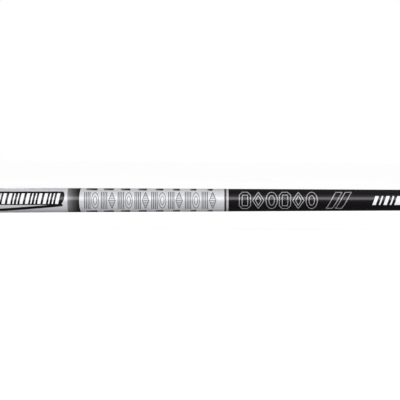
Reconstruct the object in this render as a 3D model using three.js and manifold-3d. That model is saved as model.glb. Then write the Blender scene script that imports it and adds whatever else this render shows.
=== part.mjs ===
// An adjustable golf driver, lying on a floor on its face and on the rim of its grip cap.
// Millimetres, +Z up. The shaft runs along X with the grip at -X and the head at +X.
import * as THREE from "three";
import { mergeVertices } from "three/addons/utils/BufferGeometryUtils.js";
import Module from "manifold-3d";

const wasm = await Module();
wasm.setup();

const DEG = Math.PI / 180;

// The whole club. Distances along the shaft start at the outer face of the grip cap.
const CLUB_LENGTH = 1155; // to the point where the shaft's axis meets the ground at address
const LIE = 58 * DEG; // between the shaft's axis and the ground at address
const LYING_ROLL = -1.7 * DEG; // about the shaft's axis, until the weight is over the face
const LYING_PITCH = -0.387 * DEG; // the shaft rises from the grip to the head
const GAP = 0.3; // between pieces that touch on the real club
const GLUE_GAP = 0.12; // between glued pieces that share the shaft's axis
const ROUND = 24; // facets round the shaft's axis

// Grip.
const CAP_RADIUS = 13.9;
const CAP_THICK = 3;
const VENT_RADIUS = 1.1;
const GRIP_END = 270;
const GRIP_BUTT_RADIUS = 13.1;
const GRIP_MOUTH_RADIUS = 8.6;
const TAPE_THICK = 0.25;

// Graphite shaft: parallel butt, then a taper, a slower taper, and a parallel tip.
const SHAFT_START = CAP_THICK + GAP;
const BUTT_RADIUS = 7.6;
const BUTT_END = 220;
const MID_TAPER = 0.005; // radius lost for each millimetre up to MID_END
const MID_END = 600;
const TIP_RADIUS = 4.25;
const TIP_START = 1010;
const SHAFT_WALL = 1.3;
const TIP_PLUG_LENGTH = 12;

// Positions on the shaft's axis in the head, measured up from the ground point.
const HOSEL_TOP = 73;
const SLEEVE_BOTTOM = 38;
const SHAFT_TIP = 46;
const COLLAR_HEIGHT = 7;
const FERRULE_HEIGHT = 22;
const BUSH_BOTTOM = 36;
const BUSH_TOP = 45;
const SEAT_BOTTOM = 32;
const SCREW_HEAD_HEIGHT = 4.5;
const WASHER_THICK = 0.9;
const SCREW_TOP = 45.2;

// Radii of the hosel and of what is in it.
const HOSEL_RADIUS = 6.8;
const BORE_RADIUS = 5.4;
const SLEEVE_RADIUS = 5.1;
const SLEEVE_KEY_RADIUS = 3.9;
const SLEEVE_KEY_DEPTH = 0.45;
const SLEEVE_KEYS = 8;
const KEY_LENGTH = 6;
const BUSH_RADIUS = 5.25;
const PORT_RADIUS = 5.6;
const PORT_TUBE_RADIUS = 7.6;
const SEAT_HOLE_RADIUS = 3.1;
const SCREW_RADIUS = 2.4;
const SCREW_HEAD_RADIUS = 4.3;
const SCREW_SOCKET_RADIUS = 2.5;
const SCREW_SOCKET_DEPTH = 3;
const TORX_LOBE = 0.35;
const RETAINER_THICK = 1.6;
const RETAINER_INNER = 3.6;
const SLEEVE_THREAD_RADIUS = 2.7;

// Head at address: x to the toe, y to the target, z up, with the sole's low point near z = 0.
const GROUND_POINT = new THREE.Vector3(-22, 28, 0); // where the shaft's axis meets the ground
const MIDDLE_HEIGHT = 28; // of the head's widest outline
const TOE_REACH = 62;
const HEEL_REACH = 58;
const FRONT_REACH = 84; // of the outline before the face cuts it
const REAR_REACH = 70;
const CROWN_HEIGHT = 31;
const SOLE_DEPTH = 28;
const PLAN_POWER = 2.25;
const CROWN_POWER = 2;
const SOLE_POWER = 2.5;
const REAR_SKEW = 5; // the back of the head leans to the heel
const WALL = 1.1;
const HEAD_AROUND = 36;
const HEAD_RINGS = 18;
const INNER_AROUND = 28;
const INNER_RINGS = 14;

// Face.
const FACE_REACH = 45.5; // its centre, forward of the origin
const FACE_HEIGHT = 29;
const LOFT = 10.5 * DEG;
const FACE_CURVE = 305; // radius of bulge and roll
const FACE_THICK = 3;
const FACE_INSET = 4;
const FACE_BLOCK = { width: 170, depth: 220, height: 130, across: 14, up: 10 };

// Panels, slot and rear weight.
const PANEL_THICK = 0.95;
const PANEL_DEPTH = 9; // how far in the panels' openings are cut
const CROWN_MARGIN = 7;
const CROWN_SETBACK = 15; // behind the face
const NECK_CLEARANCE = 17;
const SOLE_MARGIN = 10;
const SOLE_SETBACK = 30;
const KEEL_HALF_WIDTH = 8;
const WEIGHT_SURROUND = 3;
const PORT_SURROUND = 13;
const SLOT_FROM = -10;
const SLOT_TO = 46;
const SLOT_WIDTH = 5;
const SLOT_MIDDLE = 35.5;
const WEIGHT_CENTRE = new THREE.Vector3(-3, -46, 3.4);
const WEIGHT_TILT = 12 * DEG;
const WEIGHT_RADIUS = 11.5;
const WEIGHT_THICK = 6;
const WEIGHT_STUB_RADIUS = 2.9;
const WEIGHT_STUB_LENGTH = 8.5;
const WEIGHT_SOCKET_RADIUS = 2.7;
const WEIGHT_SOCKET_DEPTH = 3.5;
const WEIGHT_PORT_RADIUS = 12;
const RING_INNER = 7.5;
const RING_OUTER = 9.5;
const RING_THICK = 1.2;
const BOSS_RADIUS = 13.6;
const BOSS_HEIGHT = 17;
const INSERT_RADIUS = 4.2;
const INSERT_LENGTH = 5.5;

const PAINT = {
  rubber: { color: 0x17181a, roughness: 0.85, metalness: 0 },
  capRubber: { color: 0x101113, roughness: 0.7, metalness: 0 },
  tape: { color: 0xd9d3bd, roughness: 0.9, metalness: 0 },
  shaft: { color: 0xb9bbc0, roughness: 0.3, metalness: 0.3 },
  foam: { color: 0xe8e2d0, roughness: 0.95, metalness: 0 },
  ferrule: { color: 0x0b0b0c, roughness: 0.25, metalness: 0 },
  alloy: { color: 0x2a2c30, roughness: 0.4, metalness: 0.8 },
  steel: { color: 0x8f9297, roughness: 0.35, metalness: 1 },
  titanium: { color: 0x2b2d31, roughness: 0.45, metalness: 0.7 },
  face: { color: 0x6d7075, roughness: 0.4, metalness: 0.9 },
  carbon: { color: 0x111214, roughness: 0.18, metalness: 0.1 },
  weight: { color: 0xa3a6aa, roughness: 0.3, metalness: 1 },
};

// ---------------------------------------------------------------- solids

function toSolid(geometry) {
  const bare = geometry.clone();
  bare.deleteAttribute("normal");
  bare.deleteAttribute("uv");
  const merged = mergeVertices(bare);
  const vertProperties = new Float32Array(merged.attributes.position.array);
  const triVerts = new Uint32Array(merged.index.array);
  return new wasm.Manifold(new wasm.Mesh({ numProp: 3, vertProperties, triVerts }));
}

function toGeometry(solid) {
  const mesh = solid.getMesh();
  const geometry = new THREE.BufferGeometry();
  geometry.setAttribute("position", new THREE.BufferAttribute(mesh.vertProperties, 3));
  geometry.setIndex(new THREE.BufferAttribute(mesh.triVerts, 1));
  geometry.computeVertexNormals();
  return geometry;
}

// A turned solid about +Y from closed [radius, height] points.
function turned(points, facets = ROUND) {
  const profile = points.map(([radius, height]) => new THREE.Vector2(radius, height));
  return new THREE.LatheGeometry(profile, facets);
}

// A ring or sleeve between two radii; the profile closes on itself.
function sleeve(inner, outer, from, to, facets = ROUND) {
  return turned([[inner, from], [outer, from], [outer, to], [inner, to], [inner, from]], facets);
}

function rod(radius, from, to, facets = ROUND) {
  return turned([[0, from], [radius, from], [radius, to], [0, to]], facets);
}

// A six-lobed or keyed rod: the radius swings by depth, count times round.
function keyedRod(radius, depth, count, from, to) {
  const shape = new THREE.Shape();
  const steps = count * 4;
  for (let i = 0; i < steps; i++) {
    const angle = (i / steps) * 2 * Math.PI;
    const reach = radius + depth * Math.cos(count * angle);
    const method = i === 0 ? "moveTo" : "lineTo";
    shape[method](reach * Math.cos(angle), reach * Math.sin(angle));
  }
  shape.closePath();
  const solid = new THREE.ExtrudeGeometry(shape, { depth: to - from, bevelEnabled: false });
  solid.translate(0, 0, from);
  return solid.rotateX(-Math.PI / 2); // its length now runs along +Y
}

// ---------------------------------------------------------------- shaft and grip

function shaftRadius(along) {
  const midRadius = BUTT_RADIUS - MID_TAPER * (MID_END - BUTT_END);
  if (along <= BUTT_END) return BUTT_RADIUS;
  if (along <= MID_END) return BUTT_RADIUS - MID_TAPER * (along - BUTT_END);
  if (along >= TIP_START) return TIP_RADIUS;
  return midRadius - ((midRadius - TIP_RADIUS) * (along - MID_END)) / (TIP_START - MID_END);
}

function shaftGeometry() {
  const tip = CLUB_LENGTH - SHAFT_TIP;
  const stations = [SHAFT_START, BUTT_END, MID_END, TIP_START, tip];
  const outside = stations.map((along) => [shaftRadius(along), along]);
  const inside = stations.map((along) => [shaftRadius(along) - SHAFT_WALL, along]).reverse();
  return turned([...outside, ...inside, outside[0]]);
}

function tapeGeometry() {
  const stations = [SHAFT_START + 1, BUTT_END, GRIP_END - 2];
  const inside = stations.map((along) => [shaftRadius(along) + GLUE_GAP, along]);
  const outside = inside.map(([radius, along]) => [radius + TAPE_THICK, along]).reverse();
  return turned([...inside, ...outside, inside[0]].reverse());
}

function gripGeometry() {
  const stations = [SHAFT_START, BUTT_END, GRIP_END];
  const bore = 2 * GLUE_GAP + TAPE_THICK;
  const inside = stations.map((along) => [shaftRadius(along) + bore, along]);
  const outside = [
    [GRIP_MOUTH_RADIUS, GRIP_END],
    [GRIP_MOUTH_RADIUS + 0.5, GRIP_END - 20],
    [GRIP_BUTT_RADIUS - 1.2, 60],
    [GRIP_BUTT_RADIUS, SHAFT_START],
  ];
  return turned([...inside, ...outside, inside[0]].reverse());
}

function capGeometry() {
  const rim = 0.8;
  return turned([
    [VENT_RADIUS, 0],
    [CAP_RADIUS - rim, 0],
    [CAP_RADIUS, rim],
    [CAP_RADIUS, CAP_THICK - rim / 2],
    [CAP_RADIUS - rim / 2, CAP_THICK],
    [VENT_RADIUS, CAP_THICK],
    [VENT_RADIUS, 0],
  ]);
}

function tipPlugGeometry() {
  const tip = CLUB_LENGTH - SHAFT_TIP;
  return rod(TIP_RADIUS - SHAFT_WALL - GLUE_GAP, tip - TIP_PLUG_LENGTH, tip - 1);
}

// ---------------------------------------------------------------- hosel, measured up from the ground point

function ferruleGeometry() {
  const from = HOSEL_TOP + GAP + COLLAR_HEIGHT + GAP;
  const bore = TIP_RADIUS + GLUE_GAP;
  const to = from + FERRULE_HEIGHT;
  return turned([
    [bore, from],
    [HOSEL_RADIUS, from],
    [HOSEL_RADIUS, from + 4],
    [HOSEL_RADIUS - 0.9, from + FERRULE_HEIGHT * 0.6],
    [TIP_RADIUS + 0.5, to],
    [bore, to],
    [bore, from],
  ]);
}

function adapterSleeveGeometry() {
  const collarFrom = HOSEL_TOP + GAP;
  const collarTo = collarFrom + COLLAR_HEIGHT;
  const pocket = TIP_RADIUS + GLUE_GAP;
  const pocketFloor = SHAFT_TIP - GAP;
  const barrel = toSolid(turned([
    [SLEEVE_THREAD_RADIUS, SLEEVE_BOTTOM + KEY_LENGTH],
    [SLEEVE_RADIUS, SLEEVE_BOTTOM + KEY_LENGTH],
    [SLEEVE_RADIUS, collarFrom],
    [HOSEL_RADIUS, collarFrom],
    [HOSEL_RADIUS, collarTo],
    [pocket, collarTo],
    [pocket, pocketFloor],
    [SLEEVE_THREAD_RADIUS, pocketFloor],
    [SLEEVE_THREAD_RADIUS, SLEEVE_BOTTOM + KEY_LENGTH],
  ]));
  const keyTop = SLEEVE_BOTTOM + KEY_LENGTH + 1;
  const key = keyedRod(SLEEVE_KEY_RADIUS, SLEEVE_KEY_DEPTH, SLEEVE_KEYS, SLEEVE_BOTTOM, keyTop);
  const thread = rod(SLEEVE_THREAD_RADIUS, SLEEVE_BOTTOM - 1, SLEEVE_BOTTOM + KEY_LENGTH + 2);
  return toGeometry(barrel.add(toSolid(key).subtract(toSolid(thread))));
}

function hoselBushGeometry() {
  const blank = toSolid(rod(BUSH_RADIUS, BUSH_BOTTOM, SLEEVE_BOTTOM + KEY_LENGTH - GAP));
  const socketRadius = SLEEVE_KEY_RADIUS + GAP;
  const socket = keyedRod(socketRadius, SLEEVE_KEY_DEPTH, SLEEVE_KEYS, SLEEVE_BOTTOM - GAP, BUSH_TOP + 1);
  const through = rod(SEAT_HOLE_RADIUS, BUSH_BOTTOM - 1, BUSH_TOP + 1);
  return toGeometry(blank.subtract(toSolid(socket)).subtract(toSolid(through)));
}

const WASHER_TOP = SEAT_BOTTOM - GAP / 2;
const HEAD_TOP = WASHER_TOP - WASHER_THICK - 0.1;
const HEAD_BOTTOM = HEAD_TOP - SCREW_HEAD_HEIGHT;

function hoselScrewGeometry() {
  const blank = toSolid(turned([
    [0, HEAD_BOTTOM],
    [SCREW_HEAD_RADIUS, HEAD_BOTTOM],
    [SCREW_HEAD_RADIUS, HEAD_TOP],
    [SCREW_RADIUS, HEAD_TOP],
    [SCREW_RADIUS, SCREW_TOP],
    [0, SCREW_TOP],
  ]));
  const floor = HEAD_BOTTOM + SCREW_SOCKET_DEPTH;
  const socket = keyedRod(SCREW_SOCKET_RADIUS, TORX_LOBE, 6, HEAD_BOTTOM - 1, floor);
  return toGeometry(blank.subtract(toSolid(socket)));
}

const washerGeometry = () =>
  sleeve(SCREW_RADIUS + 0.2, SCREW_HEAD_RADIUS, WASHER_TOP - WASHER_THICK, WASHER_TOP);

const retainerGeometry = () =>
  sleeve(RETAINER_INNER, PORT_RADIUS - 0.1, HEAD_BOTTOM - GAP - RETAINER_THICK, HEAD_BOTTOM - GAP);

// Turns a solid made along +Y so that it runs up the shaft's axis in the head at address.
function alongHosel(geometry) {
  const up = new THREE.Vector3(-Math.cos(LIE), 0, Math.sin(LIE));
  const turn = new THREE.Quaternion().setFromUnitVectors(new THREE.Vector3(0, 1, 0), up);
  geometry.applyQuaternion(turn);
  return geometry.translate(GROUND_POINT.x, GROUND_POINT.y, GROUND_POINT.z);
}

// ---------------------------------------------------------------- head

// Plan radius of the head's widest outline, in the direction (across, forward).
function planRadius(across, forward) {
  const a = across > 0 ? TOE_REACH : HEEL_REACH;
  const b = forward > 0 ? FRONT_REACH : REAR_REACH;
  const sum = Math.abs(across / a) ** PLAN_POWER + Math.abs(forward / b) ** PLAN_POWER;
  return sum ** (-1 / PLAN_POWER);
}

function skewAt(forward) {
  return forward < 0 ? -REAR_SKEW * (forward / REAR_REACH) ** 2 : 0;
}

// The head's rounded form before the face is cut, shrunk inwards by inset.
function headForm(inset, around = HEAD_AROUND, rings = HEAD_RINGS) {
  const form = new THREE.SphereGeometry(1, around, rings).rotateX(Math.PI / 2);
  const place = form.attributes.position;
  const way = new THREE.Vector3();
  for (let i = 0; i < place.count; i++) {
    way.fromBufferAttribute(place, i).normalize();
    const flat = Math.hypot(way.x, way.y);
    const plan = flat > 1e-6 ? planRadius(way.x / flat, way.y / flat) : TOE_REACH;
    const height = way.z > 0 ? CROWN_HEIGHT : SOLE_DEPTH;
    const power = way.z > 0 ? CROWN_POWER : SOLE_POWER;
    const sum = (flat / plan) ** power + (Math.abs(way.z) / height) ** power;
    way.multiplyScalar(sum ** (-1 / power) - inset);
    place.setXYZ(i, way.x + skewAt(way.y), way.y, way.z + MIDDLE_HEIGHT);
  }
  return toSolid(form);
}

// Everything behind the face's outer surface, moved back by inset.
function behindFace(inset) {
  const { width, depth, height, across, up } = FACE_BLOCK;
  const block = new THREE.BoxGeometry(width, depth, height, across, 1, up);
  const place = block.attributes.position;
  for (let i = 0; i < place.count; i++) {
    const x = place.getX(i);
    const z = place.getZ(i);
    const drop = (x * x + z * z) / (2 * FACE_CURVE);
    place.setY(i, place.getY(i) - depth / 2 - inset - drop);
  }
  block.rotateX(LOFT);
  block.translate(0, FACE_REACH, FACE_HEIGHT);
  return toSolid(block);
}

// A vertical prism over an outline of [x, y] points.
function prism(outline, from, to) {
  const shape = new THREE.Shape(outline.map(([x, y]) => new THREE.Vector2(x, y)));
  const solid = new THREE.ExtrudeGeometry(shape, { depth: to - from, bevelEnabled: false });
  return toSolid(solid.translate(0, 0, from));
}

// The head's whole outline as a prism, inset by margin.
function outlinePrism(margin, from, to) {
  const outline = Array.from({ length: HEAD_AROUND }, (_, i) => {
    const bearing = (i / HEAD_AROUND) * 2 * Math.PI;
    const radius = planRadius(Math.cos(bearing), Math.sin(bearing)) - margin;
    const y = radius * Math.sin(bearing);
    return [radius * Math.cos(bearing) + skewAt(y), y];
  });
  return prism(outline, from, to);
}

function upright(radius, x, y) {
  const cylinder = new THREE.CylinderGeometry(radius, radius, 200, ROUND).rotateX(Math.PI / 2);
  return toSolid(cylinder.translate(x, y, 0));
}

// The crown panel: the back and sides of the head, a front edge along the face, clear of the neck.
function crownPrism(grow) {
  const neck = toSolid(alongHosel(rod(NECK_CLEARANCE - grow, 20, 110)));
  return outlinePrism(CROWN_MARGIN - grow, MIDDLE_HEIGHT + 2, 90)
    .intersect(behindFace(CROWN_SETBACK - grow))
    .subtract(neck);
}

// One sole panel, beside the keel and clear of the weight and the screw's port.
// side is 1 at the toe and -1 at the heel.
function solePrism(side, grow) {
  const inner = KEEL_HALF_WIDTH - grow;
  const half = new THREE.BoxGeometry(100, 300, 100).translate(side * (50 + inner), 0, 0);
  return outlinePrism(SOLE_MARGIN - grow, -20, MIDDLE_HEIGHT - 2)
    .intersect(behindFace(SOLE_SETBACK - grow))
    .intersect(toSolid(half))
    .subtract(upright(BOSS_RADIUS + WEIGHT_SURROUND - grow, WEIGHT_CENTRE.x, WEIGHT_CENTRE.y))
    .subtract(upright(PORT_SURROUND - grow, GROUND_POINT.x, GROUND_POINT.y));
}

function slotPrism(grow) {
  const half = SLOT_WIDTH / 2 + grow;
  const shape = new THREE.Shape();
  shape.absarc(SLOT_TO - half, SLOT_MIDDLE, half, -Math.PI / 2, Math.PI / 2, false);
  shape.absarc(SLOT_FROM + half, SLOT_MIDDLE, half, Math.PI / 2, 1.5 * Math.PI, false);
  const solid = new THREE.ExtrudeGeometry(shape, { depth: 30, bevelEnabled: false, curveSegments: 6 });
  return toSolid(solid.translate(0, 0, -15));
}

// Turns a solid made along +Y so that it runs up into the head from the rear weight's outer face.
function atWeight(geometry) {
  geometry.rotateX(Math.PI / 2 - WEIGHT_TILT);
  return toSolid(geometry.translate(WEIGHT_CENTRE.x, WEIGHT_CENTRE.y, WEIGHT_CENTRE.z));
}

function neckSolid() {
  return toSolid(alongHosel(turned([
    [0, 30],
    [17, 30],
    [13, 46],
    [9.6, 54],
    [7.6, 61],
    [HOSEL_RADIUS, 67],
    [HOSEL_RADIUS, HOSEL_TOP],
    [0, HOSEL_TOP],
  ])));
}

const outerForm = headForm(0).intersect(behindFace(0));
const innerForm = headForm(WALL, INNER_AROUND, INNER_RINGS).intersect(behindFace(FACE_THICK));
const faceOutline = (grow) => headForm(FACE_INSET - grow);
const panelSkin = () => outerForm.subtract(headForm(PANEL_THICK, INNER_AROUND, INNER_RINGS));

function headBodySolid() {
  const outside = outerForm.add(neckSolid());
  const tube = toSolid(alongHosel(rod(PORT_TUBE_RADIUS, -5, HOSEL_TOP - 2)));
  const boss = atWeight(rod(BOSS_RADIUS, -3, BOSS_HEIGHT));
  const cavity = innerForm.subtract(tube).subtract(boss);
  const cuts = [
    faceOutline(GAP).subtract(behindFace(FACE_THICK + GAP)),
    crownPrism(GAP).subtract(headForm(PANEL_DEPTH, INNER_AROUND, INNER_RINGS)),
    solePrism(1, GAP).subtract(headForm(PANEL_DEPTH, INNER_AROUND, INNER_RINGS)),
    solePrism(-1, GAP).subtract(headForm(PANEL_DEPTH, INNER_AROUND, INNER_RINGS)),
    slotPrism(0).subtract(headForm(WALL + 2)),
    toSolid(alongHosel(rod(BORE_RADIUS, BUSH_BOTTOM - GAP, HOSEL_TOP + 1))),
    toSolid(alongHosel(rod(SEAT_HOLE_RADIUS, SEAT_BOTTOM - 1, HOSEL_TOP))),
    toSolid(alongHosel(rod(PORT_RADIUS, -20, SEAT_BOTTOM))),
    atWeight(rod(WEIGHT_PORT_RADIUS, -12, WEIGHT_THICK + RING_THICK + GAP)),
    atWeight(rod(INSERT_RADIUS + GAP, 0, BOSS_HEIGHT - 1.2)),
  ];
  return cuts.reduce((body, cut) => body.subtract(cut), outside.subtract(cavity));
}

const facePlateSolid = () => faceOutline(0).intersect(behindFace(0)).subtract(behindFace(FACE_THICK));
const crownPanelSolid = () => panelSkin().intersect(crownPrism(0));
const solePanelSolid = (side) => panelSkin().intersect(solePrism(side, 0));

function slotInsertSolid() {
  const skin = outerForm.subtract(headForm(WALL + 1));
  return skin.intersect(slotPrism(-GAP));
}

function rearWeightSolid() {
  const blank = atWeight(turned([
    [0, 0],
    [WEIGHT_RADIUS - 0.8, 0],
    [WEIGHT_RADIUS, 0.8],
    [WEIGHT_RADIUS, WEIGHT_THICK],
    [WEIGHT_STUB_RADIUS, WEIGHT_THICK],
    [WEIGHT_STUB_RADIUS, WEIGHT_THICK + WEIGHT_STUB_LENGTH],
    [0, WEIGHT_THICK + WEIGHT_STUB_LENGTH],
  ]));
  const socket = keyedRod(WEIGHT_SOCKET_RADIUS, TORX_LOBE, 6, -1, WEIGHT_SOCKET_DEPTH);
  return blank.subtract(atWeight(socket));
}

const RING_FROM = WEIGHT_THICK + 0.1;
const weightRingSolid = () => atWeight(sleeve(RING_INNER, RING_OUTER, RING_FROM, RING_FROM + RING_THICK));

function weightInsertSolid() {
  const from = WEIGHT_THICK + RING_THICK + GAP + 0.5;
  return atWeight(sleeve(WEIGHT_STUB_RADIUS + 0.2, INSERT_RADIUS, from, from + INSERT_LENGTH));
}

// ---------------------------------------------------------------- assembly

function piece(name, geometry, paint) {
  const mesh = new THREE.Mesh(geometry, new THREE.MeshStandardMaterial(PAINT[paint]));
  mesh.name = name;
  return mesh;
}

// Along the shaft from the grip: +Y of each turned solid becomes +X of the club.
const shaftLine = new THREE.Group();
shaftLine.rotation.z = -Math.PI / 2;
shaftLine.add(
  piece("grip_cap", capGeometry(), "capRubber"),
  piece("grip_sleeve", gripGeometry(), "rubber"),
  piece("grip_tape", tapeGeometry(), "tape"),
  piece("shaft", shaftGeometry(), "shaft"),
  piece("tip_plug", tipPlugGeometry(), "foam"),
);

// Up the shaft's axis from the ground point.
const hoselLine = new THREE.Group();
hoselLine.position.x = CLUB_LENGTH;
hoselLine.rotation.z = Math.PI / 2;
hoselLine.add(
  piece("ferrule", ferruleGeometry(), "ferrule"),
  piece("adapter_sleeve", adapterSleeveGeometry(), "alloy"),
  piece("hosel_bush", hoselBushGeometry(), "alloy"),
  piece("hosel_screw", hoselScrewGeometry(), "steel"),
  piece("screw_washer", washerGeometry(), "steel"),
  piece("screw_retainer", retainerGeometry(), "capRubber"),
);

// The head turns from address to lie face down with its shaft along X.
const headAtAddress = new THREE.Group();
headAtAddress.position.copy(GROUND_POINT).negate();
headAtAddress.add(
  piece("head_body", toGeometry(headBodySolid()), "titanium"),
  piece("face_plate", toGeometry(facePlateSolid()), "face"),
  piece("crown_panel", toGeometry(crownPanelSolid()), "carbon"),
  piece("sole_panel_toe", toGeometry(solePanelSolid(1)), "carbon"),
  piece("sole_panel_heel", toGeometry(solePanelSolid(-1)), "carbon"),
  piece("slot_insert", toGeometry(slotInsertSolid()), "capRubber"),
  piece("rear_weight", toGeometry(rearWeightSolid()), "weight"),
  piece("weight_ring", toGeometry(weightRingSolid()), "capRubber"),
  piece("weight_insert", toGeometry(weightInsertSolid()), "steel"),
);
const head = new THREE.Group();
head.position.x = CLUB_LENGTH;
head.rotation.order = "ZYX";
head.rotation.set(-Math.PI / 2, 0, LIE);
head.add(headAtAddress);

const club = new THREE.Group();
club.rotation.x = LYING_ROLL;
club.add(shaftLine, hoselLine, head);

const driver = new THREE.Group();
driver.rotation.y = LYING_PITCH;
driver.add(club);

// The origin is on the floor under the middle of the whole club.
const box = new THREE.Box3().setFromObject(driver, true);
const middle = box.getCenter(new THREE.Vector3());
driver.position.set(-middle.x, -middle.y, -box.min.z);

export default driver;
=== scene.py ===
"""A golf driver lying face down on a pale floor: smooth shells, paint and rubber over the CAD model."""
import math
from itertools import chain

import bmesh
import bpy
import numpy as np
from mathutils import Matrix, Vector
from mathutils.geometry import delaunay_2d_cdt


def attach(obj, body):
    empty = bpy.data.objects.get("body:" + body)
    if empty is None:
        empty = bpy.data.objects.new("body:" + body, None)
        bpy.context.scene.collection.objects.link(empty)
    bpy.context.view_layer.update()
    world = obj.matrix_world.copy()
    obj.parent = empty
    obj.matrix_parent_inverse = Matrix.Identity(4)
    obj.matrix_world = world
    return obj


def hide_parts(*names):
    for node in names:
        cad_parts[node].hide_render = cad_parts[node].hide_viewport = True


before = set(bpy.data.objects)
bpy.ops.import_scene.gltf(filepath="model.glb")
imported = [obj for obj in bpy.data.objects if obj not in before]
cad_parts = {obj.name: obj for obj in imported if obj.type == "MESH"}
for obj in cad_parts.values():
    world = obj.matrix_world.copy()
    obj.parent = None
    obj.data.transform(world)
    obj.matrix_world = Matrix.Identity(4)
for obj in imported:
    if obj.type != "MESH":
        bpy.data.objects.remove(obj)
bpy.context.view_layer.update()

MM = 0.001
UP = Vector((0, 0, 1))

# ---------------------------------------------------------------- the design's sizes, in mm

CLUB_LENGTH = 1155
LIE = math.radians(58)
LYING_ROLL = math.radians(-1.7)
SHAFT_START = 3.3
SHAFT_END = 1109
BUTT_RADIUS = 7.6
BUTT_END = 220
MID_TAPER = 0.005
MID_END = 600
TIP_RADIUS = 4.25
TIP_START = 1010
SHAFT_WALL = 1.3

# The painted stretch of the shaft, measured from the grip's end.
PAINT_FROM = 275
PAINT_TO = 575
SILVER_END = 429.5
PAINT_FLAT = 6.8  # mm of the unrolled plane for each radian round the shaft
AROUND = 96  # facets round the shaft


def shaft_radius(along):
    """Outer radius of the shaft, in mm, at a distance from the grip's end."""
    mid_radius = BUTT_RADIUS - MID_TAPER * (MID_END - BUTT_END)
    if along <= BUTT_END:
        return BUTT_RADIUS
    if along <= MID_END:
        return BUTT_RADIUS - MID_TAPER * (along - BUTT_END)
    if along >= TIP_START:
        return TIP_RADIUS
    part = (along - MID_END) / (TIP_START - MID_END)
    return mid_radius - (mid_radius - TIP_RADIUS) * part


# ---------------------------------------------------------------- frames, from the CAD shaft


def ring_centre(node, low):
    """The middle of the first or last ring of a turned CAD node that runs along X."""
    points = [v.co for v in bpy.data.objects[node].data.vertices]
    edge = min(p.x for p in points) if low else max(p.x for p in points)
    ring = [p for p in points if abs(p.x - edge) < MM / 2]
    return sum(ring, Vector()) / len(ring)


def axes_matrix(origin, x_axis, y_axis):
    """A frame from its origin, its X and its Y, with Z square to both."""
    columns = (x_axis, y_axis, x_axis.cross(y_axis))
    return Matrix.Translation(origin) @ Matrix(columns).transposed().to_4x4()


butt = ring_centre("shaft", True)
tip = ring_centre("shaft", False)
along_axis = (tip - butt).normalized()
shaft_origin = butt - along_axis * SHAFT_START * MM
# SHAFT: X runs from the grip to the head, -Y faces the camera. CLUB has the head's roll as well.
SHAFT = axes_matrix(shaft_origin, along_axis, Vector((0, 1, 0)))
CLUB = SHAFT @ Matrix.Rotation(LYING_ROLL, 4, "X")


# ---------------------------------------------------------------- mesh helpers


def link_object(name, data):
    """A new object in the scene."""
    obj = bpy.data.objects.new(name, data)
    bpy.context.scene.collection.objects.link(obj)
    return obj


def turns(count):
    """The angles of even steps round a circle."""
    return [math.tau * i / count for i in range(count)]


def mesh_object(name, points, faces, materials, face_slots=None):
    """A new object from world points in metres."""
    mesh = bpy.data.meshes.new(name)
    mesh.from_pydata([tuple(p) for p in points], [], faces)
    for material in materials:
        mesh.materials.append(material)
    if face_slots is not None:
        mesh.polygons.foreach_set("material_index", face_slots)
    mesh.shade_smooth()
    return link_object(name, mesh)


def finish_piece(obj, body, node):
    """Ride on a body and stand for a CAD node."""
    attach(obj, body)
    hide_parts(node)
    return obj


def on_axis(place, along, radius, angle):
    """A world point round an axis: angle 0 faces -Y and a right angle faces up."""
    local = Vector((along, -radius * math.cos(angle), radius * math.sin(angle)))
    return place @ (local * MM)


# ---------------------------------------------------------------- material helpers


def rgba(value):
    """A colour with its alpha, from a grey or from three parts."""
    return (*value, 1) if hasattr(value, "__len__") else (value, value, value, 1)


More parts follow.
